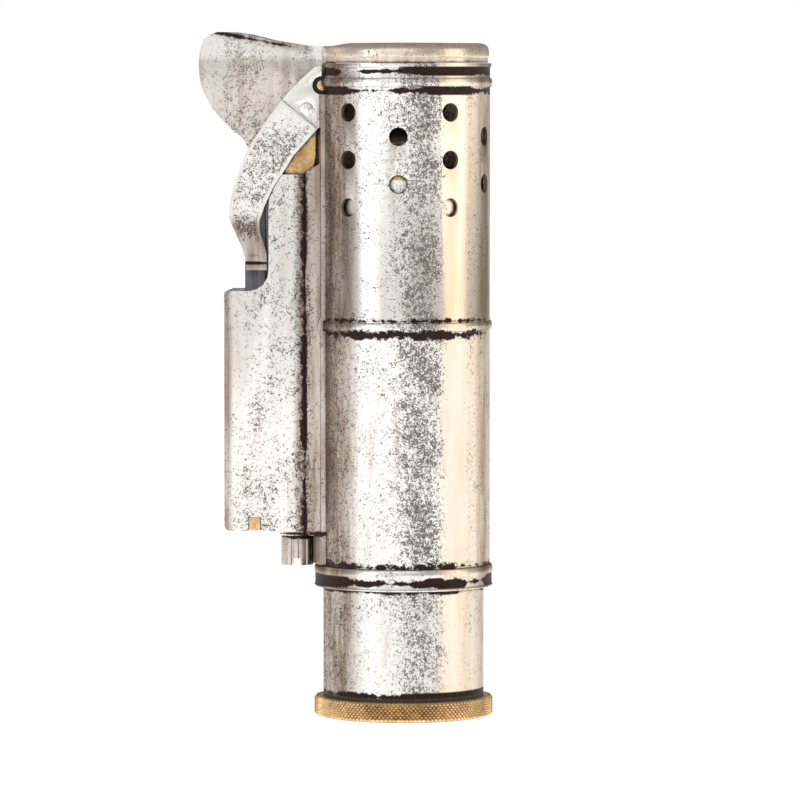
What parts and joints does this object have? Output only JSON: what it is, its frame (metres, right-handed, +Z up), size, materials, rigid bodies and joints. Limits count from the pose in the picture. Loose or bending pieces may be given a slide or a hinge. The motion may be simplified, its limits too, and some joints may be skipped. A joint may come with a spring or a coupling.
{
  "type": "flint spark lighter",
  "caption": "Tube-shaped pocket wick lighter with a perforated wind guard, thumb-wing lid, side spring housing, fluted flint screw and knurled filler cap",
  "frame": {"origin": "centre of the filler cap's flat bottom face", "axes": "+Z up along the tube, lever side at -X, the front as pictured faces -Y"},
  "size_m": [0.0293, 0.018, 0.0684],
  "materials": {
    "antique_silver": "worn antique silver plate with dark patina in the grooves",
    "brass": "warm satin",
    "dark_steel": "hardened, dark",
    "spring_steel": "wire",
    "flint_alloy": "matte",
    "felt": "felt",
    "cotton": "woven cotton",
    "seal_rubber": "matte"
  },
  "bodies": {
    "shell": {"outer_sleeve": "antique_silver", "collar_ring": "antique_silver", "stop_ring": "brass", "side_frame": "antique_silver", "bearing_plates": "brass", "wheel_cradle": "brass", "housing_cover": "antique_silver", "spring_seat": "brass", "curved_arm": "antique_silver", "arm_rivets": "antique_silver", "hinge_pin": "brass", "flint_tube": "brass", "flint": "flint_alloy", "return_spring": "spring_steel"},
    "lid": {"lid_lever": "antique_silver", "snuffer_pad": "felt"},
    "rod": {"push_rod": "dark_steel"},
    "wheel": {"flint_wheel": "dark_steel", "ratchet_discs": "dark_steel", "wheel_axle": "brass"},
    "screw_spring": {"flint_spring": "spring_steel"},
    "screw": {"flint_screw": "antique_silver"},
    "tank": {"tank_tube": "antique_silver", "tank_top_plate": "antique_silver", "wick_tube": "brass", "wick": "cotton", "cotton_packing": "cotton"},
    "washer": {"cap_washer": "seal_rubber"},
    "cap": {"filler_cap": "brass"}
  },
  "joints": [
    {"name": "lid_swing", "type": "hinge", "parent": "shell", "child": "lid", "pos_m": [-0.0079, 0, 0.0631], "axis": [0, -1, 0], "range_deg": [0, 42], "stiffness_Nm_per_rad": 0.004, "springref_deg": -20.05},
    {"name": "rod_push", "type": "slide", "parent": "shell", "child": "rod", "axis": [0, 0, -1], "range_m": [0, 0.00271], "stiffness_N_per_m": 40, "springref_m": -0.003, "deforming": ["return_spring"]},
    {"name": "wheel_turn", "type": "hinge", "parent": "shell", "child": "wheel", "pos_m": [-0.0109, 0, 0.05785], "axis": [0, -1, 0], "range_deg": [0, 72]},
    {"name": "screw_rise", "type": "slide", "parent": "shell", "child": "screw_spring", "axis": [0, 0, -1], "range_m": [0, 0.004], "deforming": ["flint_spring"]},
    {"name": "screw_turn", "type": "hinge", "parent": "screw_spring", "child": "screw", "pos_m": [-0.0107, 0, 0.0165], "axis": [0, 0, -1], "range_deg": [0, 2880]},
    {"name": "tank_slide", "type": "slide", "parent": "tank", "child": "shell", "axis": [0, 0, 1], "range_m": [0, 0.048]},
    {"name": "cap_rise", "type": "slide", "parent": "washer", "child": "tank", "axis": [0, 0, 1], "range_m": [0, 0.0057]},
    {"name": "cap_turn", "type": "hinge", "parent": "cap", "child": "washer", "pos_m": [0, 0, 0.001], "axis": [0, 0, 1], "range_deg": [0, 2520]}
  ],
  "couplings": [
    {"joint": "lid_swing", "follows": "rod_push", "rad_per_m": 269.5},
    {"joint": "wheel_turn", "follows": "rod_push", "rad_per_m": 455.5},
    {"joint": "screw_turn", "follows": "screw_rise", "rad_per_m": 12566},
    {"joint": "cap_rise", "follows": "cap_turn", "m_per_rad": 0.00012732}
  ]
}
